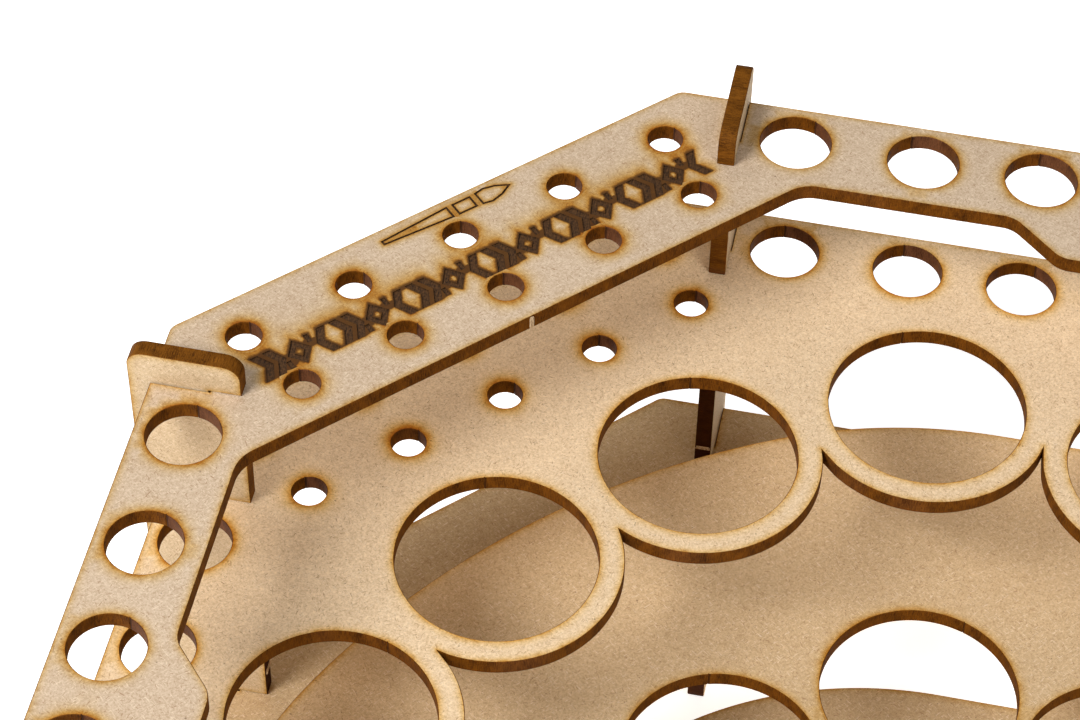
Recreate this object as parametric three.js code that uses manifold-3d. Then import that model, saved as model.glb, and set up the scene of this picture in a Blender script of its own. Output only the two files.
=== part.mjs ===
// Paint rack organizer: tiers of 3.2 mm sheet in a half octagon that is open at the front,
// held by uprights that slide into open slots round the outside.
// Units mm, +Z up, front at -Y. The origin is on the table, at the centre of the rectangle the rack covers.
import * as THREE from "three";
import { mergeVertices } from "three/addons/utils/BufferGeometryUtils.js";
import Module from "manifold-3d";

const wasm = await Module();
wasm.setup();

// Sheet
const T = 3.2; // thickness
const FIT = 0.12; // gap on each side of a sheet that passes through another

// Levels: top faces of the plates, and the uprights' upper ends
const PITCH = 29.7;
const BASE_TOP = 10.2;
const LOWER_TOP = BASE_TOP + PITCH;
const UPPER_TOP = LOWER_TOP + PITCH;
const RING_TOP = UPPER_TOP + PITCH;
const UPRIGHT_TOP = RING_TOP + 7;

// Plan, measured from the centre of the octagon
const SIDE = 177; // centre to a long side
const DIAGONAL = 195.7; // centre to a diagonal side
const FRONT = -22.8; // the side arms end here
const CORNER_R = 2.8;

// Inner edge of the top ring, which is wider at the middle of each long side
const BAND_SIDE = 157.7;
const BAND_DIAGONAL = 163.5;
const WIDE_SIDE = 149.4;
const WIDE_HALF = 25.5;
const WIDE_FOOT = 34.8;
const FLARE_R = 5;
const BEND_R = 7;

// Brush holes in two rows on each diagonal side, tool holes on the long sides
const BRUSH_R = 3.2;
const BRUSH_ROWS = [
  { distance: 186.85, pitch: 22.5 },
  { distance: 171.8, pitch: 21 },
];
const TOOL_R = 6.6;
const TOOL_DISTANCE = 168.2;
const TOOL_OFFSETS = [-10.6, 10.6, 30.9, 52.7, 76.5];

// Pots stand in arcs round the centre; the one at the middle of each side is set forward
const POT_R = 18.2;
const RIM_R = 22.75;
const UPPER_POTS = { radius: 142.6, turns: [18.3, 36.2, 53.8, 71.7], middle: 129.65, band: 136.2 };
const LOWER_POTS = { radius: 100.2, turns: [22.2, 45, 67.8], middle: 83.7, band: 98 };

// Round plates flattened towards the long sides: the lower tier, and the pot floor of the base
const LOWER_PLATE = { radius: 163.4, side: 156.4, half: 30 };
const FLOOR_PLATE = { radius: 126.4, side: 114.1, half: 34 };
const BASE_BAND_R = 140;
const BRIDGE_HALF = 14;

// Uprights and legs: distances out from the centre, and offsets along the side
const UPRIGHT_OUT = 181;
const CORNER = { inner: 159.6, armInner: 160.7, offset: 88.3 };
const MIDDLE = { inner: 150.4, offset: 0 };
const SLOT = 166.4; // plates are slotted outside this line, uprights notched inside it
const LOWER_SLOT = 153.4;
const LEG = { inner: 110, outer: 140, slot: 127, offset: 80.5 };
const TAB_R = 3.2;
const FOOT_R = 2.5;

const ALL_LEVELS = [BASE_TOP, UPPER_TOP, RING_TOP];
const BACK = 90;
const LEFT = 180;
const RIGHT = 0;
const SHIFT_Y = -(UPRIGHT_OUT + FRONT) / 2;

// ---- plan outlines ----

// Closed outline through [x, y, corner radius] points.
function outline(points) {
  const shape = new THREE.Shape();
  points.forEach(([x, y, r = 0], i) => {
    const here = new THREE.Vector2(x, y);
    const back = new THREE.Vector2(...points.at(i - 1)).sub(here).normalize();
    const ahead = new THREE.Vector2(...points[(i + 1) % points.length]).sub(here).normalize();
    const half = Math.acos(back.dot(ahead)) / 2;
    const start = here.clone().addScaledVector(back, r / Math.tan(half));
    if (i) shape.lineTo(start.x, start.y);
    else shape.moveTo(start.x, start.y);
    if (!r) return;
    const end = here.clone().addScaledVector(ahead, r / Math.tan(half));
    const hub = back.clone().add(ahead).setLength(r / Math.sin(half)).add(here);
    const angle = (p) => Math.atan2(p.y - hub.y, p.x - hub.x);
    shape.absarc(hub.x, hub.y, r, angle(start), angle(end), back.cross(ahead) > 0);
  });
  return shape;
}

function box(x0, y0, x1, y1) {
  return outline([[x0, y0], [x1, y0], [x1, y1], [x0, y1]]);
}

function disc(x, y, radius) {
  const shape = new THREE.Shape();
  shape.absarc(x, y, radius, 0, Math.PI * 2);
  return shape;
}

// Points on the right, followed by their mirror images on the left.
function mirrored(points) {
  return [...points, ...points.map(([x, ...rest]) => [-x, ...rest]).reverse()];
}

function octagonOutline() {
  const corner = DIAGONAL * Math.SQRT2 - SIDE;
  return outline(mirrored([
    [SIDE, FRONT, CORNER_R],
    [SIDE, corner, CORNER_R],
    [corner, SIDE, CORNER_R],
  ]));
}

function ringOpening() {
  const corner = BAND_DIAGONAL * Math.SQRT2 - BAND_SIDE;
  return outline(mirrored([
    [WIDE_SIDE, FRONT - 20],
    [WIDE_SIDE, WIDE_HALF, FLARE_R],
    [BAND_SIDE, WIDE_FOOT, FLARE_R],
    [BAND_SIDE, corner, BEND_R],
    [corner, BAND_SIDE, BEND_R],
    [WIDE_FOOT, BAND_SIDE, FLARE_R],
    [WIDE_HALF, WIDE_SIDE, FLARE_R],
  ]));
}

// ---- solids ----

function solidOf(geometry) {
  const plain = geometry.clone().deleteAttribute("normal").deleteAttribute("uv");
  const merged = mergeVertices(plain, 1e-4);
  return new wasm.Manifold(new wasm.Mesh({
    numProp: 3,
    vertProperties: merged.attributes.position.array,
    triVerts: new Uint32Array(merged.index.array),
  }));
}

// A plan outline made into a plate between two heights.
function slab(shape, bottom, top, divisions = 3) {
  const geometry = new THREE.ExtrudeGeometry(shape, {
    depth: top - bottom,
    bevelEnabled: false,
    curveSegments: divisions,
  });
  return solidOf(geometry.translate(0, 0, bottom));
}

const plate = (shape, top, divisions) => slab(shape, top - T, top, divisions);
const cutter = (shape, top, divisions) => slab(shape, top - T - 1, top + 1, divisions);

function cutAll(solid, shapes, top, divisions) {
  return shapes.reduce((left, shape) => left.subtract(cutter(shape, top, divisions)), solid);
}

function addAll(solid, shapes, top, divisions) {
  return shapes.reduce((sum, shape) => sum.add(plate(shape, top, divisions)), solid);
}

// ---- holes and slots ----

function brushHoles() {
  const holes = [];
  for (const { distance, pitch } of BRUSH_ROWS) {
    for (let i = -2; i <= 2; i++) {
      const x = (distance - i * pitch) * Math.SQRT1_2;
      const y = (distance + i * pitch) * Math.SQRT1_2;
      holes.push(disc(x, y, BRUSH_R), disc(-x, y, BRUSH_R));
    }
  }
  return holes;
}

function toolHoles() {
  const back = TOOL_OFFSETS.slice(1).flatMap((s) => [[s, TOOL_DISTANCE], [-s, TOOL_DISTANCE]]);
  const arms = TOOL_OFFSETS.flatMap((s) => [[TOOL_DISTANCE, s], [-TOOL_DISTANCE, s]]);
  return [...back, ...arms].map(([x, y]) => disc(x, y, TOOL_R));
}

function potCentres({ radius, turns, middle }) {
  const centres = [[0, middle], [middle, 0], [-middle, 0]];
  for (const turn of turns) {
    const angle = THREE.MathUtils.degToRad(turn);
    const x = radius * Math.sin(angle);
    const y = radius * Math.cos(angle);
    centres.push([x, y], [-x, y]);
  }
  return centres;
}

// A slot in plan, from one distance to another outwards on the given side.
function slotOn(side, offset, from, to) {
  const half = T / 2 + FIT;
  const turn = THREE.MathUtils.degToRad(side - BACK);
  const place = ([x, y]) => [
    x * Math.cos(turn) - y * Math.sin(turn),
    x * Math.sin(turn) + y * Math.cos(turn),
  ];
  return outline([
    [offset - half, from],
    [offset + half, from],
    [offset + half, to],
    [offset - half, to],
  ].map(place));
}

// The side and the offset along it of every upright, named.
const UPRIGHTS = {
  corner_upright_back_left: { side: BACK, offset: -CORNER.offset, inner: CORNER.inner },
  corner_upright_back_right: { side: BACK, offset: CORNER.offset, inner: CORNER.inner },
  corner_upright_left: { side: LEFT, offset: CORNER.offset, inner: CORNER.armInner },
  corner_upright_right: { side: RIGHT, offset: -CORNER.offset, inner: CORNER.armInner },
  middle_upright_back: { side: BACK, offset: MIDDLE.offset, inner: MIDDLE.inner },
  middle_upright_left: { side: LEFT, offset: MIDDLE.offset, inner: MIDDLE.inner },
  middle_upright_right: { side: RIGHT, offset: MIDDLE.offset, inner: MIDDLE.inner },
};

const LEGS = {
  inner_leg_back_left: { side: BACK, offset: -LEG.offset },
  inner_leg_back_right: { side: BACK, offset: LEG.offset },
  inner_leg_left: { side: LEFT, offset: LEG.offset },
  inner_leg_right: { side: RIGHT, offset: -LEG.offset },
};

const outerSlots = Object.values(UPRIGHTS)
  .map(({ side, offset }) => slotOn(side, offset, SLOT - FIT, SIDE + 20));
const lowerSlots = Object.values(UPRIGHTS)
  .filter(({ offset }) => offset === MIDDLE.offset)
  .map(({ side, offset }) => slotOn(side, offset, LOWER_SLOT - FIT, SIDE));
const legSlots = Object.values(LEGS)
  .map(({ side, offset }) => slotOn(side, offset, LEG.inner - 1, LEG.slot + FIT));

// ---- plates ----

// Octagonal plate with its brush holes, tool holes and slots.
function octagonPlate(top) {
  const blank = cutAll(plate(octagonOutline(), top), outerSlots, top);
  return cutAll(cutAll(blank, brushHoles(), top, 8), toolHoles(), top, 10);
}

// Opens the middle of a plate, leaving a scalloped row of round rims along the edge.
function scalloped(solid, pots, top) {
  const rims = potCentres(pots).map(([x, y]) => disc(x, y, RIM_R));
  const ends = [1, -1].map((s) => box(
    Math.min(s * pots.middle, s * (pots.middle + 20)),
    FRONT,
    Math.max(s * pots.middle, s * (pots.middle + 20)),
    0,
  ));
  const open = cutAll(solid, [disc(0, 0, pots.band)], top, 32);
  return addAll(addAll(open, rims, top, 18), ends, top);
}

function drillPots(solid, pots, top) {
  return cutAll(solid, potCentres(pots).map(([x, y]) => disc(x, y, POT_R)), top, 16);
}

// A disc whose flats, of the given half length, run into the round with wide arcs.
function roundPlate({ radius, side, half }, top) {
  const blend = (radius + side - half ** 2 / (radius - side)) / 2;
  const reach = side - blend;
  const turn = Math.atan2(half, reach);
  const shape = new THREE.Shape();
  shape.moveTo(side, FRONT);
  shape.lineTo(side, half);
  shape.absarc(reach, half, blend, 0, turn);
  shape.absarc(0, 0, radius, turn, Math.PI / 2 - turn);
  shape.absarc(half, reach, blend, Math.PI / 2 - turn, Math.PI / 2);
  shape.absarc(-half, reach, blend, Math.PI / 2, Math.PI / 2 + turn);
  shape.absarc(0, 0, radius, Math.PI / 2 + turn, Math.PI - turn);
  shape.absarc(-reach, half, blend, Math.PI - turn, Math.PI);
  shape.lineTo(-side, FRONT);
  return plate(shape, top, 5);
}

function topRing() {
  return cutAll(octagonPlate(RING_TOP), [ringOpening()], RING_TOP);
}

function upperTier() {
  return drillPots(scalloped(octagonPlate(UPPER_TOP), UPPER_POTS, UPPER_TOP), UPPER_POTS, UPPER_TOP);
}

// A round plate with a scalloped front edge that follows the lower pots.
function roundTier(form, top) {
  const whole = roundPlate(form, top);
  return scalloped(whole, LOWER_POTS, top).intersect(whole);
}

function lowerTier() {
  const drilled = drillPots(roundTier(LOWER_PLATE, LOWER_TOP), LOWER_POTS, LOWER_TOP);
  return cutAll(drilled, lowerSlots, LOWER_TOP);
}

// Band under the octagonal plates, joined to the pot floor by a bridge at the middle of each side.
function basePlate() {
  const band = cutAll(plate(octagonOutline(), BASE_TOP), [disc(0, 0, BASE_BAND_R)], BASE_TOP, 36);
  const floor = roundTier(FLOOR_PLATE, BASE_TOP);
  const near = FLOOR_PLATE.side - 2;
  const far = BASE_BAND_R + 2;
  const bridges = [
    box(-BRIDGE_HALF, near, BRIDGE_HALF, far),
    box(near, FRONT, far, BRIDGE_HALF),
    box(-far, FRONT, -near, BRIDGE_HALF),
  ];
  return cutAll(addAll(band.add(floor), bridges, BASE_TOP), [...outerSlots, ...legSlots], BASE_TOP);
}

// ---- uprights and legs ----

// A profile of [distance out, height] points, cut from sheet and stood on the given side.
function standing(shape, notches, { side, offset }) {
  const flat = slab(shape, offset - T / 2, offset + T / 2);
  const cut = notches.reduce((left, n) => left.subtract(slab(n, offset - T, offset + T)), flat);
  const geometry = geometryOf(cut);
  const out = new THREE.Vector3(0, 1, 0);
  const up = new THREE.Vector3(0, 0, 1);
  geometry.applyMatrix4(new THREE.Matrix4().makeBasis(out, up, out.clone().cross(up)));
  return geometry.rotateZ(THREE.MathUtils.degToRad(side - BACK));
}

function upright({ side, offset, inner }) {
  const shape = outline([
    [inner, 0, FOOT_R],
    [UPRIGHT_OUT, 0, FOOT_R],
    [UPRIGHT_OUT, UPRIGHT_TOP, TAB_R],
    [inner, UPRIGHT_TOP, TAB_R],
  ]);
  const notches = ALL_LEVELS.map((top) => box(inner - 1, top - T - FIT, SLOT + FIT, top + FIT));
  if (inner === MIDDLE.inner)
    notches.push(box(inner - 1, LOWER_TOP - T - FIT, LOWER_SLOT + FIT, LOWER_TOP + FIT));
  return standing(shape, notches, { side, offset });
}

function leg(place) {
  const shape = outline([
    [LEG.inner, 0, FOOT_R],
    [LEG.outer, 0, FOOT_R],
    [LEG.outer, LOWER_TOP - T - 0.02],
    [LEG.inner, LOWER_TOP - T - 0.02],
  ]);
  const notch = box(LEG.slot - FIT, BASE_TOP - T - FIT, LEG.outer + 1, BASE_TOP + FIT);
  return standing(shape, [notch], place);
}

// ---- assembly ----

function geometryOf(solid) {
  const { vertProperties, triVerts } = solid.getMesh();
  const geometry = new THREE.BufferGeometry();
  geometry.setAttribute("position", new THREE.BufferAttribute(vertProperties, 3));
  geometry.setIndex(new THREE.BufferAttribute(triVerts, 1));
  return geometry;
}

const rack = new THREE.Group();

function addPiece(name, geometry, color) {
  geometry.computeVertexNormals();
  const material = new THREE.MeshStandardMaterial({ color, roughness: 0.8, metalness: 0 });
  const mesh = new THREE.Mesh(geometry.translate(0, SHIFT_Y, 0), material);
  mesh.name = name;
  rack.add(mesh);
}

addPiece("top_ring", geometryOf(topRing()), "#cdb18a");
addPiece("upper_pot_tier", geometryOf(upperTier()), "#c4a67c");
addPiece("lower_pot_tier", geometryOf(lowerTier()), "#c0a074");
addPiece("base_plate", geometryOf(basePlate()), "#b79a70");
for (const [name, place] of Object.entries(UPRIGHTS)) addPiece(name, upright(place), "#c9a878");
for (const [name, place] of Object.entries(LEGS)) addPiece(name, leg(place), "#c9a878");

export default rack;
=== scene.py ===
import math

import bpy
import numpy as np
from mathutils import Matrix, Vector
from mathutils.geometry import delaunay_2d_cdt
from mathutils.kdtree import KDTree


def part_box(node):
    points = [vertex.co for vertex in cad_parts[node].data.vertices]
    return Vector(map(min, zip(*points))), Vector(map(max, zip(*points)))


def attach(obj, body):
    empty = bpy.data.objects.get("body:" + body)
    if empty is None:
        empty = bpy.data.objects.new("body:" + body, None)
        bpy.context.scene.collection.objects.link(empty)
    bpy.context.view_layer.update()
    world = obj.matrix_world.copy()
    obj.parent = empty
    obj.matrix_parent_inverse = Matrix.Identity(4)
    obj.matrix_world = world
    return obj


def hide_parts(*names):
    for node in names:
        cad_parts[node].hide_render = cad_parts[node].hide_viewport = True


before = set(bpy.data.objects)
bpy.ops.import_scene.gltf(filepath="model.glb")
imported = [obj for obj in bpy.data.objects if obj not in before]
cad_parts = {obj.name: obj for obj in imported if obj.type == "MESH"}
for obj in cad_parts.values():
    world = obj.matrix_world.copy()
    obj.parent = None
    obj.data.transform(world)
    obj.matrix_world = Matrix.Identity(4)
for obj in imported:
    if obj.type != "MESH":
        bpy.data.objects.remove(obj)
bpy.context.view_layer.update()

MM = 0.001
FAR = 99.0

# Outline sampling
STEP = 0.7  # between outline points
CHAMFER = 0.13  # burnt-off corner along every cut
SHARP = math.radians(22)
INSETS = (0.8, 2.2, 4.0)
GRID = 4.5

# Lead-in mark on the wall of every round hole
NICK_HALF = 0.16
NICK_DEPTH = 0.12

# How hard the edge was burnt: outlines, then holes by their largest radius
OUTLINE_BURN = 0.42
HOLE_BURN = ((5, 0.95), (10, 0.68), (FAR, 0.46))

# Places where a sheet was held in its blank
RING_TAB = 0.66  # on each diagonal of the ring, as a share of half its width
UPRIGHT_TAB = 17.0  # height on the inner edge of a corner upright

# Smoke beside the burnt-in marks drifts to their outer side, and fine lines leave little of it
SMOKE_DRIFT = 1.1
FINE_MARK_GAP = 0.9
FINE_MARK_FADE = 3.0

rng = np.random.default_rng(7)


# ---- outlines from the frame ----

def sheet_plane(name):
    """Axis across the sheet, its two faces' levels and the two axes in its plane."""
    low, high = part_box(name)
    size = high - low
    axis = min(range(3), key=lambda i: size[i])
    return axis, low[axis] / MM, high[axis] / MM, (axis + 1) % 3, (axis + 2) % 3


def outline_edges(name, axis, level, u, v):
    """Directed outline edges of one face of a sheet, with the material on their left."""
    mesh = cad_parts[name].data
    co = np.array([p.co for p in mesh.vertices]) / MM
    edges = set()
    for face in mesh.polygons:
        if max(abs(co[i][axis] - level) for i in face.vertices) > 0.005:
            continue
        points = [(round(co[i][u], 3), round(co[i][v], 3)) for i in face.vertices]
        edges.update(zip(points, points[1:] + points[:1]))
    return [(a, b) for a, b in edges if (b, a) not in edges and a != b]


def chained(edges):
    ahead = dict(edges)
    loops = []
    while ahead:
        start = min(ahead)
        loop = [start]
        while loop[-1] in ahead:
            loop.append(ahead.pop(loop[-1]))
        loops.append(np.array(loop[:-1]))
    return sorted(loops, key=lambda loop: -abs(area(loop)))


def area(loop):
    x, y = loop[:, 0], loop[:, 1]
    return (x * np.roll(y, -1) - y * np.roll(x, -1)).sum() / 2


def simplified(loop):
    """The loop without points that are doubled or lie on a straight run."""
    far = np.linalg.norm(loop - np.roll(loop, 1, 0), axis=1) > 0.03
    loop = loop[far]
    turn = turns(loop)
    return loop[np.abs(turn) > math.radians(0.25)]


def turns(loop):
    out = np.roll(loop, -1, 0) - loop
    back = loop - np.roll(loop, 1, 0)
    cross = back[:, 0] * out[:, 1] - back[:, 1] * out[:, 0]
    return np.arctan2(cross, (back * out).sum(1))


def as_circle(loop):
    centre = loop.mean(0)
    radii = np.linalg.norm(loop - centre, axis=1)
    if len(loop) < 12 or np.ptp(radii) > 0.03:
        return None
    return centre, radii.max()


def round_hole(centre, radius):
    """Clockwise outline of a hole that begins at its lead-in nick, on the far side."""
    count = max(40, round(2 * math.pi * radius / 0.6))
    begin = math.pi / 2 + rng.uniform(-0.5, 0.5)
    nick = NICK_HALF / radius
    angles = begin - np.linspace(nick, 2 * math.pi - nick, count)
    angles = np.concatenate([[begin], angles])
    radii = np.full(len(angles), radius)
    radii[0] += NICK_DEPTH
    return centre + radii[:, None] * np.stack([np.cos(angles), np.sin(angles)], 1)


def refined(loop):
    """The loop with even points, its runs of short facets turned into arcs."""
    count = len(loop)
    turn = turns(loop)
    chord = np.roll(loop, -1, 0) - loop
    length = np.linalg.norm(chord, axis=1)
    lead = np.zeros(count)  # from the tangent at a segment's start to its chord
    trail = np.zeros(count)  # from the chord to the tangent at its end
    smooth = np.abs(turn) < SHARP
    for i in range(count):
        before, after = length[i - 1], length[i]
        share = before / (before + after)
        if before > 2.5 * after:
            share = 0
        if after > 2.5 * before:
            share = 1
        trail[i - 1] = turn[i] * share
        lead[i] = turn[i] * (1 - share)
    points = []
    for i in range(count):
        starts, ends = smooth[i], smooth[(i + 1) % count]
        half = 0.0
        if starts and ends:
            half = (lead[i] + trail[i]) / 2 if lead[i] * trail[i] > 0 else 0.0
        elif starts or ends:
            half = lead[i] if starts else trail[i]
        pieces = max(1, math.ceil(length[i] / STEP))
        along = chord[i] / length[i]
        right = np.array([along[1], -along[0]])
        for k in range(pieces):
            t = k / pieces
            if abs(half) < 1e-4:
                points.append(loop[i] + chord[i] * t)
                continue
            radius = length[i] / 2 / math.sin(half)
            angle = half * (2 * t - 1)
            middle = loop[i] + chord[i] / 2
            points.append(
                middle
                + along * radius * math.sin(angle)
                + right * radius * (math.cos(angle) - math.cos(half))
            )
    return np.array(points)


def inward(loop):
    """At each point, the way into the material, longer at corners so that offsets stay parallel."""
    back = loop - np.roll(loop, 1, 0)
    out = np.roll(loop, -1, 0) - loop
    back /= np.linalg.norm(back, axis=1)[:, None]
    out /= np.linalg.norm(out, axis=1)[:, None]
    normal = np.stack([-(back + out)[:, 1], (back + out)[:, 0]], 1)
    normal /= np.maximum(np.linalg.norm(normal, axis=1), 1e-6)[:, None]
    side = np.stack([-out[:, 1], out[:, 0]], 1)
    return normal / np.maximum((normal * side).sum(1), 0.5)[:, None]


def burn_strength(circle):
    """Small holes were burnt hardest, long outlines least."""
    if circle is None:
        return OUTLINE_BURN
    return next(burn for radius, burn in HOLE_BURN if circle[1] < radius)


def sheet_loops(name):
    """Outlines of a sheet: points, distance from the lead-in nick, and how hard the edge was burnt."""
    axis, low, high, u, v = sheet_plane(name)
    found = []
    for raw in chained(outline_edges(name, axis, high, u, v)):
        loop = simplified(raw)
        circle = as_circle(loop)
        points = round_hole(*circle) if circle else refined(loop)
        lengths = np.linalg.norm(np.roll(points, -1, 0) - points, axis=1)
        run = np.concatenate([[0], np.cumsum(lengths)])
        start = run[:-1] if circle else np.full(len(points), FAR)
        heat = burn_strength(circle) + rng.uniform(-0.1, 0.1)
        found.append({"points": points, "run": run, "start": start, "heat": heat, "ring": bool(circle)})
    return found


# ---- distances ----

class Nearest:
    """Distance from a point to a set of sampled outlines, with the outline's own number."""

    def __init__(self, loops):
        self.points = np.concatenate(loops)
        self.before = np.concatenate([np.roll(loop, 1, 0) for loop in loops])
        self.after = np.concatenate([np.roll(loop, -1, 0) for loop in loops])
        self.owner = np.concatenate([np.full(len(loop), i) for i, loop in enumerate(loops)])
        self.tree = KDTree(len(self.points))
        for i, (x, y) in enumerate(self.points):
            self.tree.insert((x, y, 0), i)
        self.tree.balance()

    def of(self, queries):
        hits = np.array([self.tree.find((x, y, 0))[1] for x, y in queries], int)
        here = self.points[hits]
        away = np.full(len(queries), 1e9)
        for other in (self.before[hits], self.after[hits]):
            line = other - here
            t = ((queries - here) * line).sum(1) / np.maximum((line * line).sum(1), 1e-12)
            foot = here + line * np.clip(t, 0, 1)[:, None]
            away = np.minimum(away, np.linalg.norm(queries - foot, axis=1))
        return away, self.owner[hits]

    def drifted(self, queries, way):
        """Distance that counts less on the side that the smoke drifted to."""
        away, _ = self.of(queries)
        hits = [self.tree.find((x, y, 0))[1] for x, y in queries]
        across = queries - self.points[hits]
        side = across @ way / np.maximum(np.linalg.norm(across, axis=1), 1e-6)
        return away * (1 + SMOKE_DRIFT * (1 - side))


def inner_points(loops, nearest, marks):
    """Points between the outlines, close together near the cuts and sparse elsewhere."""
    kept = []
    for distance in INSETS:
        cell = 0.7 * STEP + 0.15 * distance
        taken = set()
        for sign, group in ((1, loops), (-1, marks)):
            for loop in group:
                trial = loop + sign * inward(loop) * distance
                away, _ = nearest.of(trial)
                for point, gap in zip(trial, away):
                    key = tuple(np.floor(point / cell).astype(int))
                    if gap > 0.96 * distance and key not in taken:
                        taken.add(key)
                        kept.append(point)
    low, high = loops[0].min(0), loops[0].max(0)
    rows = np.arange(low[1], high[1], GRID * 0.866)
    spots = [
        (x + (row % 2) * GRID / 2, y)
        for row, y in enumerate(rows)
        for x in np.arange(low[0], high[0], GRID)
    ]
    spots = np.array(spots)
    away, _ = nearest.of(spots)
    return np.concatenate([np.array(kept).reshape(-1, 2), spots[away > INSETS[-1] + GRID / 3]])


# ---- sheets as meshes ----

def triangulated(outlines, marks, extra):
    """Triangles between the outlines, each with the parity of the marks around it."""
    points = np.concatenate([*outlines, *marks, extra])
    faces = []
    first = 0
    for loop in [*outlines, *marks]:
        ids = list(range(first, first + len(loop)))
        faces.append(ids if area(loop) > 0 else ids[::-1])
        first += len(loop)
    result = delaunay_2d_cdt([Vector(p) for p in points], [], faces, 0, 1e-6, True)
    verts, _, tris, _, _, inside = result
    placed = np.array([tuple(p) for p in verts])
    hull = len(outlines)
    kept, sunk = [], []
    for tri, owners in zip(tris, inside):
        cut = [f for f in owners if f < hull]
        if cut == [0]:
            kept.append(list(tri))
            sunk.append(len([f for f in owners if f >= hull]) % 2 == 1)
    source = [ids[0] if ids else -1 for ids in result[3]]
    return placed, np.array(source), kept, sunk


class Builder:
    """Collects a sheet's vertices and faces, with their attributes."""

    def __init__(self, name):
        self.name = name
        self.axis, self.low, self.high, self.u, self.v = sheet_plane(name)
        self.co = []
        self.values = {"cut_distance": [], "cut_burn": [], "mark_distance": [], "nick_distance": []}
        self.faces, self.kinds, self.uvs = [], [], []

    def vertex(self, point, level, edge, heat, scorch=FAR, start=FAR):
        place = [0.0, 0.0, 0.0]
        place[self.u], place[self.v], place[self.axis] = point[0], point[1], level
        self.co.append(place)
        for key, value in zip(self.values, (edge, heat, scorch, start)):
            self.values[key].append(value)
        return len(self.co) - 1

    def face(self, ids, kind, uv):
        self.faces.append(ids)
        self.kinds.append(kind)
        self.uvs.extend(uv)

    def made(self, materials):
        mesh = bpy.data.meshes.new(self.name + "_sheet")
        mesh.from_pydata((np.array(self.co) * MM).tolist(), [], self.faces)
        for key, values in self.values.items():
            layer = mesh.attributes.new(key, "FLOAT", "POINT")
            layer.data.foreach_set("value", np.array(values, np.float32))
        uv = mesh.uv_layers.new(name="UVMap")
        uv.data.foreach_set("uv", np.array(self.uvs, np.float32).ravel())
        mesh.polygons.foreach_set("material_index", np.array(self.kinds, np.int32))
        for material in materials:
            mesh.materials.append(material)
        mesh.shade_smooth()
        mesh.set_sharp_from_angle(angle=math.radians(32))
        mesh.validate()
        piece = bpy.data.objects.new(self.name + "_sheet", mesh)
        bpy.context.scene.collection.objects.link(piece)
        return piece


FACE, WALL, CHAR, TORN = 0, 1, 2, 3


def add_torn_tab(build, outline, target):
    """Torn fibres of the small bridge that held the part in its sheet, on the cut nearest the target."""
    i = np.linalg.norm(outline - target, axis=1).argmin()
    along = outline[(i + 1) % len(outline)] - outline[i]
    along /= np.linalg.norm(along)
    out = np.array([along[1], -along[0]])
    for k in range(6):
        start = outline[i] + along * (k - 3) * 0.13
        low = build.low + 0.1 + rng.uniform(0, 0.5)
        high = build.high - 0.05 - rng.uniform(0, 0.35)
        reach, width = rng.uniform(0.1, 0.32), rng.uniform(0.07, 0.12)
        corners = [
            build.vertex(start + along * a + out * b, level, 0, 0.4)
            for level in (low, high)
            for a, b in ((0, -0.05), (width, -0.05), (width, reach), (0, reach))
        ]
        for quad in ((0, 3, 2, 1), (4, 5, 6, 7), (0, 1, 5, 4), (1, 2, 6, 5), (2, 3, 7, 6), (3, 0, 4, 7)):
            build.face([corners[q] for q in quad], TORN, [(0, 0), (0.1, 0), (0.1, 1), (0, 1)])


def add_walls(build, loop):
    """The cut through the sheet along one outline, with a small burnt corner at each face."""
    points, run, start, heat = loop["points"], loop["run"], loop["start"], loop["heat"]
    inner = points + inward(points) * CHAMFER
    rows = [
        (inner, build.high),
        (points, build.high - CHAMFER),
        (points, build.low + CHAMFER),
        (inner, build.low),
    ]
    rings = []
    for place, level in rows:
        edge = CHAMFER if place is inner else 0
        rings.append([build.vertex(p, level, edge, heat, FAR, s) for p, s in zip(place, start)])
    count = len(points)
    for (upper, (_, top)), (lower, (_, bottom)) in zip(
        zip(rings, rows), zip(rings[1:], rows[1:])
    ):
        for i in range(count):
            j = (i + 1) % count
            ids = [upper[i], lower[i], lower[j], upper[j]]
            a, b = run[i], run[i + 1]
            build.face(ids, WALL, [(a, top), (a, bottom), (b, bottom), (b, top)])
    return inner, rings[0], rings[3]


def add_face(build, placed, source, tris, ring, level, flip, fields, sunk=None, depth=0.0):
    """One face of the sheet. Triangles inside a mark lie deeper."""
    ids, deep = {}, {}

    def at(i, below):
        store = deep if below else ids
        if i not in store:
            if not below and 0 <= source[i] < len(ring):
                store[i] = ring[source[i]]
            else:
                edge, heat, scorch = (field[i] for field in fields)
                lower = depth if below else 0.0
                store[i] = build.vertex(placed[i], level - lower, edge, heat, scorch)
        return store[i]

    sunk = sunk or [False] * len(tris)
    for tri, below in zip(tris, sunk):
        order = tri[::-1] if flip else tri
        build.face([at(i, below) for i in order], CHAR if below else FACE, [placed[i] for i in order])
    return ids, deep


def add_mark_walls(build, tris, sunk, placed, ids, deep):
    """Steps down into the marks, along every edge between a flat and a sunk triangle."""
    below = set()
    for tri, down in zip(tris, sunk):
        if down:
            below.update(zip(tri, tri[1:] + tri[:1]))
    for a, b in below:
        if (b, a) not in below and a in ids and b in ids:
            quad = [ids[b], ids[a], deep[a], deep[b]]
            build.face(quad, CHAR, [placed[b], placed[a], placed[a], placed[b]])


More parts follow.
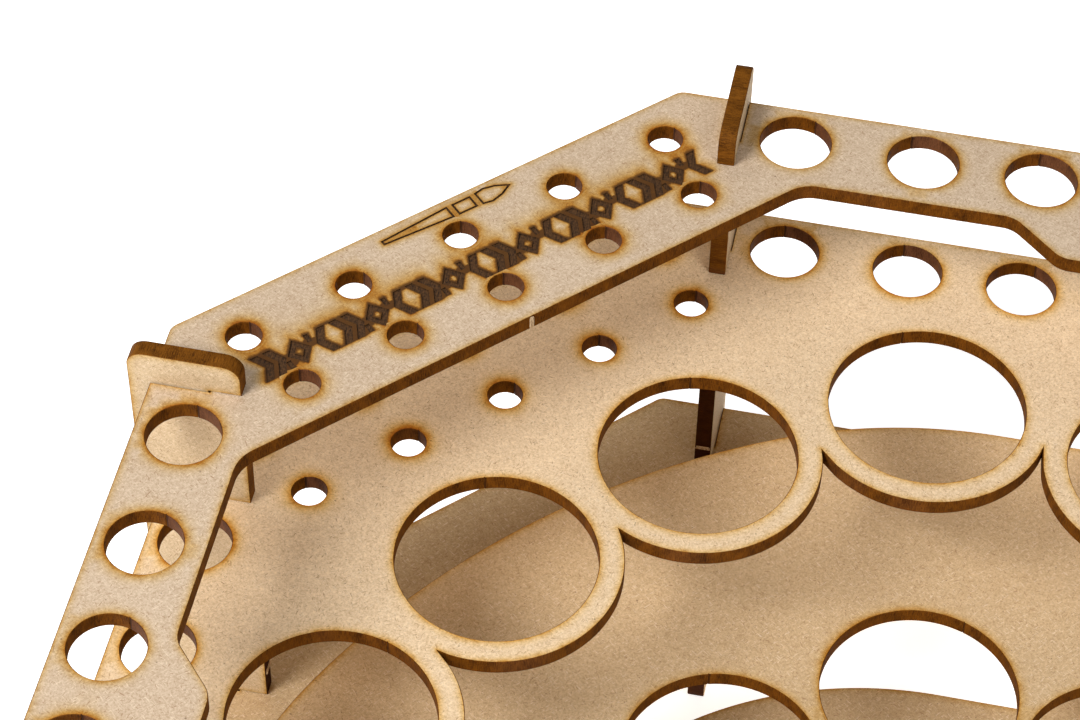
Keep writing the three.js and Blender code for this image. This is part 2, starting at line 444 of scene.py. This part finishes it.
def torn_places(name, build):
    """Where each sheet was held in its blank, in the sheet's own plane."""
    low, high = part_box(name)
    u, v = build.u, build.v
    middle = np.array([(low[u] + high[u]) / 2, (low[v] + high[v]) / 2]) / MM
    if name == "top_ring":
        arm = (high[0] - low[0]) / 2 / MM
        core = np.array([middle[0], high[1] / MM - arm])
        return [core + np.array([side, 1]) * RING_TAB * arm for side in (-1, 1)]
    if name.startswith("corner"):
        inner = low if name.endswith(("back_left", "back_right", "right")) else high
        return [np.array([UPRIGHT_TAB if axis == 2 else inner[axis] / MM for axis in (u, v)])]
    return []


def smoke_distance(placed, bold, fine):
    """Distance to the bold marks on the side the smoke drifted to. Fine lines left little smoke."""
    if not bold:
        return np.full(len(placed), FAR)
    far = Nearest(bold).drifted(placed, np.array([-1, 1]) / math.sqrt(2))
    return np.minimum(far, FINE_MARK_GAP + FINE_MARK_FADE * Nearest(fine).of(placed)[0])


def sheet_piece(name, materials, bold=(), fine=(), depth=0.3):
    """One sheet with its walls, faces, marks and torn tabs, in place of the frame's node."""
    marks = [*bold, *fine]
    build = Builder(name)
    loops = sheet_loops(name)
    nearest = Nearest([loop["points"] for loop in loops])
    inner, upper_rim, lower_rim = [], [], []
    for loop in loops:
        line, top, bottom = add_walls(build, loop)
        inner.append(line)
        upper_rim.extend(top)
        lower_rim.extend(bottom)
    extra = inner_points([loop["points"] for loop in loops], nearest, marks)
    if marks:
        gap, _ = Nearest(marks).of(extra)
        extra = extra[gap > 0.5]
    placed, source, tris, sunk = triangulated(inner, marks, extra)
    edge, owner = nearest.of(placed)
    heat = np.array([loop["heat"] for loop in loops])[owner]
    scorch = smoke_distance(placed, bold, fine)
    ids, deep = add_face(
        build, placed, source, tris, upper_rim, build.high, False, (edge, heat, scorch), sunk, depth
    )
    add_mark_walls(build, tris, sunk, placed, ids, deep)
    clear = np.full(len(placed), FAR)
    add_face(build, placed, source, tris, lower_rim, build.low, True, (edge, heat, clear))
    for target in torn_places(name, build):
        add_torn_tab(build, loops[0]["points"], target)
    piece = build.made(materials)
    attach(piece, "root")
    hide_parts(name)
    return piece


# ---- burnt-in decoration on the rear left side of the top ring ----

def ring_place():
    """Turns (along the side, out from the middle of the rack) into plan points on the rear left side."""
    low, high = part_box("top_ring")
    middle = np.array([(low[0] + high[0]) / 2, high[1] - (high[0] - low[0]) / 2]) / MM
    along = np.array([1, 1]) / math.sqrt(2)
    out = np.array([-1, 1]) / math.sqrt(2)
    return lambda points: np.array([middle + along * u + out * n for u, n in points])


def sampled(corners, step=0.55):
    corners = np.array(corners, float)
    points = []
    for here, there in zip(corners, np.roll(corners, -1, 0)):
        pieces = max(1, math.ceil(np.linalg.norm(there - here) / step))
        points.extend(here + (there - here) * k / pieces for k in range(pieces))
    return np.array(points)


def chevron(u, n, way):
    tall, stroke, lean = 3.1, 1.6, 1.6
    shape = [(0, -tall), (stroke, -tall), (stroke + lean, 0), (stroke, tall), (0, tall), (lean, 0)]
    if way < 0:
        shape = [(stroke + lean - x, y) for x, y in shape][::-1]
    return [(u + x, n + y) for x, y in shape]


def lozenge(u, n, tall, wide, turn=1):
    return [(u, n - tall), (u + wide, n), (u, n + tall), (u - wide, n)][::turn]


def bar(u, n, wide, tall):
    return [(u, n - tall), (u + wide, n - tall), (u + wide, n + tall), (u, n + tall)]


# The decoration's distance out from the middle of the rack, and how the border repeats along the side
BORDER_OUT = 178.5
BORDER_START = -47.0
BORDER_PITCH = 15.9
BORDER_GROUPS = 6
BRUSH_OUT = 192.6


def border_band():
    """A bold running border of chevrons, bars and lozenges."""
    place, level = ring_place(), BORDER_OUT
    shapes = []
    for group in range(BORDER_GROUPS):
        u = BORDER_START + BORDER_PITCH * group
        shapes += [chevron(u, level, 1), chevron(u + 2.5, level, 1)]
        shapes += [lozenge(u + 8.4, level, 3.0, 2.4), lozenge(u + 8.4, level, 1.2, 0.95, -1)]
        shapes.append(bar(u + 5.15, level - 1.9, 0.9, 0.95))
        shapes.append(bar(u + 10.7, level + 1.9, 0.9, 0.95))
        shapes.append(chevron(u + 11.9, level, -1))
    return [sampled(place(shape)) for shape in shapes]


def thin_ring(corners, stroke=0.42):
    """Both outlines of a thin line drawn round a shape."""
    corners = np.array(corners, float)
    return [sampled(corners), sampled(corners + inward(corners) * stroke)[::-1]]


def brush_drawing():
    """A fine line drawing of a paint brush lying along the outer edge."""
    place, n = ring_place(), BRUSH_OUT
    handle = [(-13, n - 0.6), (1.6, n - 1.5), (1.6, n + 1.5), (-13, n + 0.6)]
    ferrule = [(2.5, n - 1.5), (6.6, n - 1.5), (6.6, n + 1.5), (2.5, n + 1.5)]
    hairs = [(7.5, n - 1.6), (9.6, n - 2), (12, n - 1.4), (14.6, n)]
    hairs += [(u, 2 * n - out) for u, out in hairs[2::-1]]
    loops = []
    for shape in (handle, ferrule, hairs):
        loops += thin_ring(shape)
    return [place(loop) for loop in loops]


# ---- materials ----

def srgb(r, g, b):
    def linear(c):
        c /= 255
        return c / 12.92 if c <= 0.04045 else ((c + 0.055) / 1.055) ** 2.4

    return (linear(r), linear(g), linear(b), 1.0)


FACE_DARK = srgb(186, 162, 133)
FACE_PALE = srgb(226, 207, 181)
SMOKE_LOSS = (0.46, 1.1, 2.9)  # of red, green and blue, for a stain of density 1
SMOKE_REACH = 1.3


class Shader:
    """Short calls for building a node material."""

    def __init__(self, name):
        self.material = bpy.data.materials.new(name)
        self.material.use_nodes = True
        self.nodes = self.material.node_tree.nodes
        self.links = self.material.node_tree.links
        self.nodes.clear()
        self.surface = self.nodes.new("ShaderNodeBsdfPrincipled")
        output = self.nodes.new("ShaderNodeOutputMaterial")
        self.links.new(self.surface.outputs[0], output.inputs[0])

    def put(self, socket, value):
        if isinstance(value, bpy.types.NodeSocket):
            self.links.new(value, socket)
        else:
            socket.default_value = value

    def math(self, operation, a, b=0.0, c=0.0, clamp=False):
        node = self.nodes.new("ShaderNodeMath")
        node.operation, node.use_clamp = operation, clamp
        for socket, value in zip(node.inputs, (a, b, c)):
            self.put(socket, value)
        return node.outputs[0]

    def attribute(self, name):
        node = self.nodes.new("ShaderNodeAttribute")
        node.attribute_name = name
        return node.outputs["Fac"]

    def spread(self, value, low, high, to_low=0.0, to_high=1.0):
        node = self.nodes.new("ShaderNodeMapRange")
        node.interpolation_type = "SMOOTHSTEP"
        for socket, given in zip(node.inputs, (value, low, high, to_low, to_high)):
            self.put(socket, given)
        return node.outputs[0]

    def position(self):
        node = self.nodes.new("ShaderNodeTexCoord")
        return self.scaled(node.outputs["Object"], (1 / MM, 1 / MM, 1 / MM))

    def scaled(self, vector, scale, turn=(0.0, 0.0, 0.0)):
        node = self.nodes.new("ShaderNodeMapping")
        self.put(node.inputs["Vector"], vector)
        node.inputs["Rotation"].default_value = turn
        node.inputs["Scale"].default_value = scale
        return node.outputs[0]

    def noise(self, vector, scale, detail=2.0, rough=0.5, distortion=0.0):
        node = self.nodes.new("ShaderNodeTexNoise")
        self.put(node.inputs["Vector"], vector)
        node.inputs["Scale"].default_value = scale
        node.inputs["Detail"].default_value = detail
        node.inputs["Roughness"].default_value = rough
        node.inputs["Distortion"].default_value = distortion
        return node.outputs["Fac"]

    def mix(self, factor, a, b):
        node = self.nodes.new("ShaderNodeMix")
        node.data_type = "RGBA"
        self.put(node.inputs[0], factor)
        self.put(node.inputs[6], a)
        self.put(node.inputs[7], b)
        return node.outputs[2]

    def fading(self, distance, reach):
        """1 at a distance of zero, falling away exponentially."""
        far = self.math("MAXIMUM", distance, 0.0)
        return self.math("EXPONENT", self.math("MULTIPLY", self.math("DIVIDE", far, reach), -1.0))

    def stained(self, colour, density):
        """The colour seen through a stain of wood smoke, which takes out blue first."""
        cast = self.nodes.new("ShaderNodeCombineColor")
        for socket, loss in zip(cast.inputs, SMOKE_LOSS):
            self.put(socket, self.math("EXPONENT", self.math("MULTIPLY", density, -loss)))
        return self.times(colour, cast.outputs[0])

    def times(self, a, b):
        node = self.nodes.new("ShaderNodeMix")
        node.data_type, node.blend_type = "RGBA", "MULTIPLY"
        node.inputs[0].default_value = 1.0
        self.put(node.inputs[6], a)
        self.put(node.inputs[7], b)
        return node.outputs[2]

    def specks(self, vector, scale, radius, share):
        """Round specks of the given radius in cells, in a share of the cells."""
        node = self.nodes.new("ShaderNodeTexVoronoi")
        self.put(node.inputs["Vector"], vector)
        node.inputs["Scale"].default_value = scale
        near = self.spread(node.outputs["Distance"], radius, radius * 0.4)
        part = self.nodes.new("ShaderNodeSeparateColor")
        self.put(part.inputs[0], node.outputs["Color"])
        chosen = self.math("LESS_THAN", part.outputs[0], share)
        return self.math("MULTIPLY", near, chosen)

    def bump(self, height, distance, strength=1.0):
        node = self.nodes.new("ShaderNodeBump")
        node.inputs["Strength"].default_value = strength
        node.inputs["Distance"].default_value = distance * MM
        self.put(node.inputs["Height"], height)
        self.put(self.surface.inputs["Normal"], node.outputs[0])

    def finish(self, colour, roughness, gloss):
        self.put(self.surface.inputs["Base Color"], colour)
        self.put(self.surface.inputs["Roughness"], roughness)
        self.surface.inputs["Specular IOR Level"].default_value = gloss
        return self.material


def fibres(shader, flat, turn, low, high):
    """Short thin fibres that lie about one way in the sheet."""
    along = shader.scaled(shader.scaled(flat, (1, 1, 1), (0, 0, turn)), (0.7, 4.6, 1.0))
    return shader.spread(shader.noise(along, 1.0, 1.0, 0.5, 0.35), low, high)


def offset(shader, value, gain, start=0.0, clamp=False):
    """A noise value swung around zero, times gain, on top of start."""
    return shader.math("MULTIPLY_ADD", shader.math("SUBTRACT", value, 0.5), gain, start, clamp)


def board_face(name, tone_and_shade):
    """Pressed wood-fibre face: mottled tan with fibres and specks, stained by smoke near every cut."""
    s = Shader(name + "_board_face")
    place = s.position()
    flat = s.nodes.new("ShaderNodeUVMap").outputs[0]
    fine = s.noise(place, 1.9, 2.0, 0.7)
    grain = s.noise(place, 3.4, 1.0, 0.5)
    mottle = s.noise(place, 0.45, 2.0, 0.6)
    broad = s.noise(place, 0.018, 2.0, 0.5)
    tone = offset(s, fine, 1.2, 0.5)
    tone = offset(s, grain, 1.1, tone)
    tone = offset(s, mottle, 0.45, tone)
    tone = offset(s, broad, 0.4, tone, clamp=True)
    # Factor per sheet on the board colour: partly its own tone, partly painted light and shade between the
    # tiers.
    colour = s.times(s.mix(tone, FACE_DARK, FACE_PALE), tone_and_shade)
    dark = fibres(s, flat, 0.3, 0.67, 0.74)
    for turn in (1.1, 1.9, 2.7):
        dark = s.math("MAXIMUM", dark, fibres(s, flat, turn, 0.67, 0.74))
    colour = s.mix(s.math("MULTIPLY", dark, 0.6), colour, srgb(142, 98, 60))
    pale = s.math("MAXIMUM", fibres(s, flat, 0.7, 0.62, 0.72), fibres(s, flat, 2.3, 0.62, 0.72))
    colour = s.mix(s.math("MULTIPLY", pale, 0.45), colour, srgb(244, 226, 200))
    spots = s.specks(place, 0.3, 0.07, 0.45)
    spots = s.math("ADD", spots, s.specks(place, 0.8, 0.13, 0.2), clamp=True)
    colour = s.mix(s.math("MULTIPLY", spots, 0.6), colour, srgb(92, 62, 40))

    heat = s.attribute("cut_burn")
    ragged = offset(s, fine, 0.5, s.attribute("cut_distance"))
    ragged = offset(s, mottle, 0.9, ragged)
    reach = s.math("MULTIPLY_ADD", heat, 0.6, 0.22)
    smoke = s.fading(ragged, reach)
    drift = s.noise(place, 0.09, 1.0, 0.5)
    smoke = s.math("MULTIPLY", smoke, s.math("MULTIPLY", heat, offset(s, drift, 2.4, 1.5)))
    mark = s.attribute("mark_distance")
    charred = s.fading(offset(s, mottle, 1.0, mark), SMOKE_REACH)
    smoke = s.math("MULTIPLY_ADD", charred, 1.4, smoke)
    colour = s.stained(colour, smoke)
    soot = s.math("MULTIPLY", s.spread(offset(s, fine, 0.5, mark), 1.0, 0.15), 0.85)
    colour = s.mix(soot, colour, srgb(66, 44, 20))
    height = s.math("MULTIPLY_ADD", fine, 1.0, s.math("MULTIPLY", grain, 0.6))
    s.bump(height, 0.008)
    return s.finish(colour, s.spread(fine, 0.3, 0.7, 0.66, 0.8), 0.2)


def cut_wall(name, dark, pale, grey_patch_amount, painted_shade_below_tier):
    """Laser-cut edge of the board: burnt brown with fine ridges through the sheet, with painted shade on
    the part below the upper tier.
    """
    s = Shader(name)
    coords = s.nodes.new("ShaderNodeUVMap")
    run = coords.outputs[0]
    place = s.position()
    ridges = s.noise(s.scaled(run, (7.0, 0.6, 1.0)), 1.0, 3.0, 0.6)
    soft = s.noise(s.scaled(run, (0.5, 0.2, 1.0)), 1.0, 2.0, 0.5)
    patch = s.noise(place, 0.045, 2.0, 0.5)
    grain = s.noise(place, 4.0, 2.0, 0.6)
    tone = offset(s, ridges, 1.7, 0.5)
    tone = offset(s, soft, 1.0, tone)
    tone = offset(s, grain, 0.8, tone, clamp=True)
    brown = s.mix(tone, dark, pale)
    grey = s.mix(tone, srgb(66, 38, 28), srgb(116, 80, 64))
    # Purple-grey on the wall: on the harder-burnt small holes it runs about 12 mm from the lead-in nick
    # round toward their right side. It also lies in patches at random, with more of them on the uprights.
    start = s.attribute("nick_distance")
    begun = s.math("LESS_THAN", start, 50.0)
    purple_grey = s.math("MULTIPLY", s.spread(start, 12.0, 4.0), 0.55)
    purple_grey = s.math("MULTIPLY", purple_grey, begun)
    purple_grey = s.math("MULTIPLY", purple_grey, s.spread(s.attribute("cut_burn"), 0.54, 0.6))
    purple_grey = s.math("MAXIMUM", purple_grey, s.spread(patch, 0.57, 0.67, 0.0, grey_patch_amount))
    colour = s.mix(purple_grey, brown, grey)
    colour = s.mix(s.math("MULTIPLY", s.spread(start, 0.5, 0.2), 0.7), colour, srgb(36, 20, 10))
    # Painted shade: the wall turns a darker, redder brown below 60 to 68 mm, where the uprights stand in
    # shade under the upper tier. The last argument sets how strong it is.
    height = s.nodes.new("ShaderNodeSeparateXYZ")
    s.put(height.inputs[0], place)
    shade = s.math("MULTIPLY", s.spread(height.outputs[2], 68.0, 60.0), painted_shade_below_tier)
    colour = s.mix(shade, colour, srgb(40, 8, 2))
    s.bump(ridges, 0.06)
    return s.finish(colour, s.spread(tone, 0, 1, 0.6, 0.75), 0.05)


def torn_fibre():
    """Pale raw fibres where a part was broken out of its blank."""
    s = Shader("torn_fibre")
    strands = s.noise(s.scaled(s.position(), (7.0, 7.0, 1.2)), 1.0, 2.0, 0.6)
    s.bump(strands, 0.04)
    return s.finish(s.mix(s.spread(strands, 0.35, 0.65), srgb(168, 128, 84), srgb(236, 212, 176)), 0.8, 0.2)


def charred_mark():
    """Floor and sides of the burnt-in decoration, with the ridges left line by line."""
    s = Shader("charred_engraving")
    place = s.position()
    lines = s.noise(s.scaled(place, (6.0, 0.5, 1.0), (0, 0, math.radians(45))), 1.0, 2.0, 0.6)
    grain = s.noise(place, 2.2, 3.0, 0.6)
    tone = s.math("MULTIPLY_ADD", s.math("SUBTRACT", lines, 0.5), 1.8, 0.5)
    tone = s.math("MULTIPLY_ADD", s.math("SUBTRACT", grain, 0.5), 1.6, tone, clamp=True)
    colour = s.mix(tone, srgb(28, 16, 6), srgb(96, 64, 34))
    s.bump(lines, 0.06)
    return s.finish(colour, 0.7, 0.25)


# ---- pieces ----

# Slot of each plate, and the factor on its board colour: partly the sheet's own tone, partly painted light
# and shade. The lower tier and the base are darker and warmer for the shade under the tiers above, and the
# upper tier is brighter.
PLATES = {
    "top_ring": ("sheet_top", (0.95, 0.92, 0.92, 1.0)),
    "upper_pot_tier": ("sheet_tiers", (1.2, 1.14, 1.03, 1.0)),
    "lower_pot_tier": ("sheet_tiers", (0.95, 0.86, 0.7, 1.0)),
    "base_plate": ("sheet_tiers", (0.84, 0.75, 0.59, 1.0)),
}
UPRIGHT = ("sheet_uprights", (1.0, 0.96, 0.85, 1.0))

# The last argument is the strength of the painted shade below the upper tier: none on the plate edges, 0.8
# on the upright edges.
PLATE_CUT = cut_wall("burnt_plate_edge", srgb(48, 21, 0), srgb(124, 72, 15), 0.15, 0.0)
UPRIGHT_CUT = cut_wall("burnt_upright_edge", srgb(46, 20, 2), srgb(140, 86, 24), 0.5, 0.8)
CHARRED = charred_mark()
TORN_FIBRE = torn_fibre()
UPRIGHT_FACE = board_face("upright", UPRIGHT[1])
for node in sorted(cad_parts):
    slot, tone_and_shade = PLATES.get(node, UPRIGHT)
    if node in PLATES:
        looks = [board_face(node, tone_and_shade), PLATE_CUT, CHARRED, TORN_FIBRE]
    else:
        looks = [UPRIGHT_FACE, UPRIGHT_CUT, CHARRED, TORN_FIBRE]
    drawing = (border_band(), brush_drawing()) if node == "top_ring" else ()
    made = sheet_piece(node, looks, *drawing)


# ---- floor, light and camera ----

# In metres and watts
FILL = 0.08  # light from the room, beside the lamps
FLOOR_REACH = 6.0
FLOOR_GLOW = 0.8  # keeps the table white under the rack
AIM = (-0.05, 0.0, 0.06)
LAMP_SIZE = 0.6
LAMP_COLOUR = (1.0, 0.99, 0.975)
LAMPS = {
    "front_left": ((-0.65, -0.6, 0.91), 13.3),
    "front_right": ((0.55, -0.6, 0.91), 6.0),
    "rear_left": ((-0.65, 0.6, 0.91), 2.1),
}


def floor():
    mesh = bpy.data.meshes.new("floor")
    corners = [(x * FLOOR_REACH, y * FLOOR_REACH, 0) for x, y in ((-1, -1), (1, -1), (1, 1), (-1, 1))]
    mesh.from_pydata(corners, [], [(0, 1, 2, 3)])
    plane = bpy.data.objects.new("floor", mesh)
    bpy.context.scene.collection.objects.link(plane)
    s = Shader("white_table")
    s.surface.inputs["Emission Color"].default_value = (1, 1, 1, 1)
    s.surface.inputs["Emission Strength"].default_value = FLOOR_GLOW
    mesh.materials.append(s.finish((0.9, 0.9, 0.9, 1), 0.7, 0.2))


def soft_lamp(name, place, power):
    data = bpy.data.lights.new(name, "AREA")
    data.shape, data.size, data.energy, data.color = "DISK", LAMP_SIZE, power, LAMP_COLOUR
    lamp = bpy.data.objects.new(name, data)
    lamp.location = place
    lamp.rotation_euler = (Vector(AIM) - Vector(place)).to_track_quat("-Z", "Y").to_euler()
    bpy.context.scene.collection.objects.link(lamp)


def studio():
    """A white surround that the camera sees at full strength, and that lights the rack only a little."""
    world = bpy.data.worlds.new("studio")
    world.use_nodes = True
    back = world.node_tree.nodes["Background"]
    back.inputs["Color"].default_value = (1, 1, 1, 1)
    ray = world.node_tree.nodes.new("ShaderNodeLightPath")
    seen = world.node_tree.nodes.new("ShaderNodeMapRange")
    seen.inputs["To Min"].default_value = FILL
    world.node_tree.links.new(ray.outputs["Is Camera Ray"], seen.inputs["Value"])
    world.node_tree.links.new(seen.outputs[0], back.inputs["Strength"])
    bpy.context.scene.world = world


def camera():
    """Looks down over the rear left corner from the open front."""
    place = Vector((-42.66, -338.18, 527.96)) * MM
    ahead = Vector((-0.1224, 0.6434, -0.7557)).normalized()
    right = Vector((0.9794, 0.2014, 0.0129))
    right = (right - ahead * right.dot(ahead)).normalized()
    up = right.cross(ahead)
    data = bpy.data.cameras.new("camera")
    data.lens, data.sensor_width = 108.43, 36
    data.clip_start, data.clip_end = 0.01, 50
    eye = bpy.data.objects.new("camera", data)
    turn = Matrix((right, up, -ahead)).transposed().to_4x4()
    eye.matrix_world = Matrix.Translation(place) @ turn
    bpy.context.scene.collection.objects.link(eye)
    bpy.context.scene.camera = eye


floor()
camera()
for name, (place, power) in LAMPS.items():
    soft_lamp(name, place, power)
studio()
bpy.context.scene.view_settings.view_transform = "Standard"
bpy.context.scene.view_settings.look = "None"
